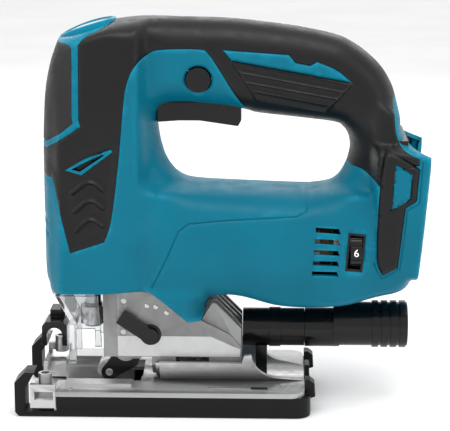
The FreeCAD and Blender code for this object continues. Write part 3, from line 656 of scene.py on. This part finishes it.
def casing_piece(faces, verts, side, kind, name):
    """One material's share of one half of the casing, as a wall of its own."""
    if side > 0:
        faces = faces[:, ::-1]
    used, index = np.unique(faces, return_inverse=True)
    piece = mesh_object("%s_%s_look" % (kind, name), verts[used],
                        index.reshape(faces.shape).tolist())
    material, slot = CASING_LOOKS[kind]
    thick = piece.modifiers.new("wall", "SOLIDIFY")
    thick.thickness = (1.0 if slot == "grip_rubber" or kind == "bezel" else 1.9) * MM
    thick.offset = -1
    apply_modifiers(piece)
    piece.data.shade_smooth()
    piece.data.set_sharp_from_angle(angle=math.radians(42))
    node = {"palm": "palm_pad", "bezel": "top_bezel"}.get(kind, "%s_%s" % (kind, name))
    cover(piece, node if node in frame["nodes"] else None, "tool_body", material)


def solid_area(centres):
    """Which triangles lie on the casing and not in one of its holes."""
    solid = inside(centres, SILHOUETTE) & ~inside(centres, FINGER_HOLE)
    solid &= np.linalg.norm(centres - np.array(LOCK), axis=1) > LOCK_HOLE - 0.05
    for vent in VENTS:
        solid &= ~inside(centres, vent)
    return solid


def casing_areas(centres):
    """Which triangles each of the casing's materials takes."""
    palm = inside(centres, PALM_AREA)
    bezel = inside(centres, BEZEL_AREA)
    bumper = inside(centres, BUMPER_AREA)
    rim = inside(centres, TRIANGLE_FRAME) & ~inside(centres, TRIANGLE)
    other = inside(centres, INSET_AREA) | palm | bezel | bumper | rim
    areas = {
        "palm": palm & ~bezel,
        "bezel": bezel,
        "bumper": bumper & ~inside(centres, BUMPER_INSET),
        "grip": inside(centres, RUBBER_AREA) & ~other,
    }
    areas["housing"] = ~np.any(list(areas.values()), axis=0)
    return areas


def casing():
    """Both halves of the casing, each cut into its materials."""
    flat, faces = triangulate()
    faces = np.array(faces)
    centres = flat[faces].mean(axis=1)
    solid = solid_area(centres)
    areas = casing_areas(centres)
    dial_frame = inside(centres, DIAL_FRAME)
    for side, name in ((-1, "left"), (1, "right")):
        kept = solid.copy()
        height = casing_height(flat, side)
        verts = np.stack([flat[:, 0], side * height, flat[:, 1]], axis=1) * MM
        if side < 0:
            kept &= ~inside(centres, DIAL_WINDOW)
            casing_piece(faces[dial_frame & kept], verts, side, "dial_frame", name)
            kept &= ~dial_frame
        for kind, area in areas.items():
            casing_piece(faces[area & kept], verts, side, kind, name)


# ------------------------------------------------------------------ camera, light, floor


def camera():
    """Camera at the left side, a little above the tool's middle."""
    target = Vector((0.0013, 0.0, 0.0971))
    distance_m = 0.886
    pitch, yaw = math.radians(12.5), math.radians(1.7)
    forward = Vector((-math.sin(yaw) * math.cos(pitch), math.cos(yaw) * math.cos(pitch),
                      -math.sin(pitch)))
    data = bpy.data.cameras.new("camera")
    data.lens = 136.6
    data.sensor_width = 36.0
    data.clip_start = 0.01
    eye = bpy.data.objects.new("camera", data)
    eye.location = target - forward * distance_m
    eye.rotation_euler = forward.to_track_quat("-Z", "Y").to_euler()
    bpy.context.collection.objects.link(eye)
    bpy.context.scene.camera = eye
    bpy.context.scene.view_settings.view_transform = "Standard"


def area_light(name, place, aim, size, power):
    data = bpy.data.lights.new(name, "AREA")
    data.shape = "RECTANGLE"
    data.size, data.size_y = size
    data.energy = power
    lamp = bpy.data.objects.new(name, data)
    lamp.location = place
    lamp.rotation_euler = (Vector(aim) - Vector(place)).to_track_quat("-Z", "Y").to_euler()
    bpy.context.collection.objects.link(lamp)


def studio():
    """Pale floor and plain soft light."""
    floor = mesh_object("floor", [(-3, -3, 0), (3, -3, 0), (3, 3, 0), (-3, 3, 0)],
                        [(0, 1, 2, 3)])
    floor.location.z = -0.0003
    kit = Nodes("floor")
    kit.link(kit.ramp(kit.noise(6.0), grey(0.86), grey(0.9)),
             kit.shader.inputs["Base Color"])
    kit.shader.inputs["Roughness"].default_value = 0.85
    floor.data.materials.append(kit.material)
    world = bpy.data.worlds.new("world")
    world.use_nodes = True
    world.node_tree.nodes["Background"].inputs["Color"].default_value = (1, 1, 1, 1)
    world.node_tree.nodes["Background"].inputs["Strength"].default_value = 1.0
    bpy.context.scene.world = world
    middle = (0, 0, 0.1)
    area_light("top", (0.05, -0.3, 1.1), middle, (1.0, 0.5), 6)
    area_light("left", (-0.9, -0.7, 0.6), middle, (0.3, 0.8), 2.4)
    area_light("right", (0.9, -0.5, 0.5), middle, (0.3, 0.8), 1.4)
    area_light("back", (0.1, 0.9, 0.7), middle, (1.2, 0.4), 3)


# ------------------------------------------------------------------ small parts


def swept(name, rings, closed):
    """Skin over rings of points of equal length; closed joins the last ring to the first."""
    count = len(rings[0])
    verts = [point for ring in rings for point in ring]
    steps = len(rings) if closed else len(rings) - 1
    faces = []
    for k in range(steps):
        low, high = k * count, ((k + 1) % len(rings)) * count
        faces += [(low + i, low + (i + 1) % count, high + (i + 1) % count, high + i)
                  for i in range(count)]
    if not closed:
        faces += [tuple(range(count))[::-1], tuple(range(steps * count, (steps + 1) * count))]
    piece = mesh_object(name, verts, faces)
    piece.data.shade_smooth()
    piece.data.set_sharp_from_angle(angle=math.radians(35))
    return piece


BADGE_MIDDLE = Vector((-68.0, 0.0, 194.4))
BADGE_SLOPE = math.radians(18.2)
BADGE_HALVES = (15.0, 13.5)  # half of the oval's length and width
BADGE_BOW = 1.2  # how far the oval's middle rises above its ends


def badge_oval(inset, height, count=64):
    """Oval on the slanted facet at the top front of the casing."""
    along = Vector((math.cos(BADGE_SLOPE), 0, math.sin(BADGE_SLOPE)))
    up = Vector((-math.sin(BADGE_SLOPE), 0, math.cos(BADGE_SLOPE)))
    ring = []
    for k in range(count):
        angle = 2 * math.pi * k / count
        reach = (BADGE_HALVES[0] - inset) * math.cos(angle)
        bow = BADGE_BOW * (1 - (reach / BADGE_HALVES[0]) ** 2)
        point = BADGE_MIDDLE + along * reach + up * (height + bow)
        point.y = (BADGE_HALVES[1] - inset) * math.sin(angle)
        ring.append(point * MM)
    return ring


def badge():
    """Two-step glossy ring round a polished plate without any mark."""
    section = [(0, -1.5), (0, 0.7), (0.5, 1.1), (1.5, 1.1), (1.8, 0.8), (2.6, 0.8), (2.9, 0.4),
               (2.9, -1.5)]
    ring = swept("bezel_ring_look", [badge_oval(*corner) for corner in section], True)
    cover(ring, None, "tool_body", TEAL_GLOSS)
    section = [(3.0, -0.9), (3.0, 0.3), (3.4, 0.5), (6.0, 0.6), (11.0, 0.7)]
    plate = swept("badge_look", [badge_oval(*corner) for corner in section], False)
    cover(plate, "badge_plate", "tool_body", MIRROR)


def disc(name, place, axis, section, body, material, count=32):
    """Turned part: section is a list of (distance along the axis, radius) in mm."""
    turn = Vector(axis).to_track_quat("Z", "Y")
    rings = []
    for along, radius in section:
        ring = [Vector((radius * math.cos(2 * math.pi * k / count),
                        radius * math.sin(2 * math.pi * k / count), along)) for k in range(count)]
        rings.append([(Vector(place) + turn @ point) * MM for point in ring])
    return cover(swept(name, rings, False), None, body, material)


DIAL_NUMBER = (68.1, -33.62, 85.4)


def dial_number():
    """The number that shows in the dial's window."""
    curve = bpy.data.curves.new("dial_number", "FONT")
    curve.body = "6"
    curve.size = 5.4 * MM
    curve.extrude = 0.12 * MM
    curve.align_x = "CENTER"
    curve.align_y = "CENTER"
    text = bpy.data.objects.new("dial_number_text", curve)
    bpy.context.collection.objects.link(text)
    text.location = Vector(DIAL_NUMBER) * MM
    text.rotation_euler = (math.pi / 2, 0, 0)
    bpy.context.view_layer.update()
    graph = bpy.context.evaluated_depsgraph_get()
    mesh = bpy.data.meshes.new_from_object(text.evaluated_get(graph))
    mesh.transform(text.matrix_world)
    bpy.data.objects.remove(text)
    piece = bpy.data.objects.new("dial_number_look", mesh)
    bpy.context.collection.objects.link(piece)
    cover(piece, None, "dial", WHITE)


COVER_Y = -18.4  # outer face of the gear cover
COVER_PINS = [(-38.4, 53.2), (-33.8, 52.7), (-28.2, 49.6)]
# Lower band of the gear cover, given the lighter casting colour as a painted lit face.
COVER_LIT_BAND = [(-53.6, 37.2), (-5.6, 37.2), (9.6, 30.4), (9.6, 26.4), (-53.6, 26.4)]


def flat_plate(name, points, low_y, high_y, body, material, bevel=0.05):
    """Side-view outline made into a plate between two distances from the mid-plane."""
    count = len(points)
    verts = [Vector((x, y, z)) * MM for y in (low_y, high_y) for x, z in points]
    faces = [tuple(range(count)), tuple(range(count, 2 * count))[::-1]]
    faces += [(i, i + count, (i + 1) % count + count, (i + 1) % count) for i in range(count)]
    piece = mesh_object(name, verts, faces)
    work = bmesh.new()
    work.from_mesh(piece.data)
    bmesh.ops.recalc_face_normals(work, faces=work.faces)
    work.to_mesh(piece.data)
    work.free()
    round_off = piece.modifiers.new("bevel", "BEVEL")
    round_off.width = bevel * MM
    round_off.segments = 2
    apply_modifiers(piece)
    return cover(piece, None, body, material)


BASE_MARKS = [("scale_line", -6.8, 15.4, 0.55, 0.12, STEEL, "steel"),
              ("scale_block", 15.4, 24.0, 1.5, 0.3, BLACK, "black_plastic")]
MARK_Y = -29.8
PLATE_TOP = 13.0  # top of the base plate's flange
BASE_SCREWS = [(-76.8, -33.0), (31.8, -25.0)]


def base_details():
    """Scale strip and small screws on the left flange of the base plate."""
    body = body_of("base_plate")
    for name, low, high, half, rise, material, slot in BASE_MARKS:
        outline = [(low, PLATE_TOP - 0.1), (high, PLATE_TOP - 0.1), (high, PLATE_TOP + rise),
                   (low, PLATE_TOP + rise)]
        flat_plate(name, outline, MARK_Y - half, MARK_Y + half, body, material)
    for number, (x, y) in enumerate(BASE_SCREWS):
        disc("base_screw_%d" % number, (x, y, PLATE_TOP), (0, 0, 1),
             [(-0.2, 1.4), (0.25, 1.4), (0.4, 1.2)], body, STEEL)
        disc("base_screw_socket_%d" % number, (x, y, PLATE_TOP), (0, 0, 1),
             [(0.2, 0.7), (0.43, 0.7)], body, BLACK)


def gear_cover_details():
    """Raised band coloured lighter as a painted lit face, three pins and the lever's shield on the
    gear cover.
    """
    # Lighter casting colour on the band: painted light, where the real cover is one cast finish.
    flat_plate("cover_lit_band", COVER_LIT_BAND, COVER_Y - 0.3, COVER_Y, "tool_body", CAST_LIGHT)
    for number, (x, z) in enumerate(COVER_PINS):
        disc("cover_pin_%d" % number, (x, COVER_Y, z), (0, -1, 0),
             [(-0.4, 1.2), (0.3, 1.2), (0.5, 0.9)], "tool_body", STEEL)
    disc("lever_shield", (-36.6, COVER_Y - 0.1, 38), (0, -1, 0),
         [(-0.1, 5.6), (0.2, 5.6), (0.27, 5.4)], "tool_body", BLACK)


# ------------------------------------------------------------------ looks of the CAD nodes

LOOKS = {
    "gear_housing": CAST, "gear_cover": CAST, "base_plate": CAST_LIGHT, "sole_cover": SOLE,
    "guide_plate": STEEL, "dust_nozzle": BLACK, "hose_adaptor": BLACK, "trigger": BLACK,
    "lock_button": BLACK, "speed_dial": BLACK, "orbit_lever": BLACK, "opener_lever": BLACK,
    "roller_retainer": BLACK, "guide_roller": STEEL, "roller_pin": STEEL, "dust_cover": CLEAR,
    "lamp_lens": CLEAR, "blade_clamp": DARK_STEEL, "clamp_sleeve": STEEL,
    "terminal_block": BLACK, "splinter_insert": BLACK, "base_bolt": DARK_STEEL,
    "base_nut": STEEL, "controller": BLACK,
}
# These stay the CAD's own meshes and only get a material.
PLAIN_LOOKS = {
    "housing_screws": DARK_STEEL, "gear_cover_screws": CAST_LIGHT, "pinion": STEEL,
    "crank_gear": STEEL, "gear_shaft": STEEL, "balance_plate": STEEL, "motor_shaft": STEEL,
    "front_bearing": STEEL, "rear_bearing": STEEL, "gear_bearing": STEEL, "plunger_rod": STEEL,
    "yoke": STEEL, "opener_pin": STEEL, "orbit_cam": STEEL, "retainer_pin": STEEL,
    "rotor_core": DARK_STEEL, "stator_core": DARK_STEEL,
    "lower_bush": BRONZE, "upper_bush": BRONZE, "battery_contacts": BRONZE,
    "stator_coils": COPPER_IN_SHADE, "lamp_board": BOARD, "sensor_board": BOARD,
    "trigger_switch": BLACK, "dial_potentiometer": BLACK, "cooling_fan": BLACK,
}


def trigger_spring():
    """The trigger's return spring, as a copy of the CAD node with a mesh of its own."""
    spring = refine("trigger_spring", STEEL, bevel=0)
    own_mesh(spring)


def dress_nodes():
    for node, material in LOOKS.items():
        refine(node, material)
    for node, material in PLAIN_LOOKS.items():
        piece = frame["nodes"][node]
        piece.data.materials.clear()
        piece.data.materials.append(material)


# ------------------------------------------------------------------ the scene

camera()
studio()
casing()
dress_nodes()
trigger_spring()
badge()
dial_number()
gear_cover_details()
base_details()
